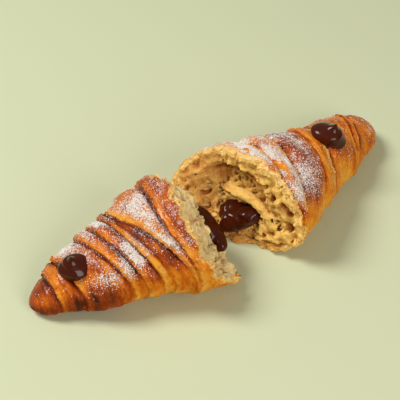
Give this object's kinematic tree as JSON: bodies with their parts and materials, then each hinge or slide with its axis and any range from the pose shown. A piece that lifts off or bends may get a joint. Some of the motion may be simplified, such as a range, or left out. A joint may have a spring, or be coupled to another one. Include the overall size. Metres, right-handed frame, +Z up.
{
  "type": "filled croissant",
  "caption": "Chocolate-filled croissant torn open across its middle, both halves lying flat with soft filling showing at the tear.",
  "frame": {"origin": "middle of the footprint on the table, under the tear", "axes": "+X from the left tip to the right tip, +Y towards the side where the halves still meet, +Z up"},
  "size_m": [0.1785, 0.0589, 0.0416],
  "materials": {
    "crust": "glossy egg-washed golden brown crust, darker on the crowns",
    "crumb": "soft pale yellow torn crumb",
    "chocolate": "glossy dark chocolate cream",
    "sugar": "dusted powdered sugar"
  },
  "bodies": {
    "root": {"pastry_left": "crust", "filling_left": "chocolate", "dollop_left": "chocolate", "pastry_right": "crust", "filling_right": "chocolate", "dollop_right": "chocolate"}
  },
  "joints": []
}
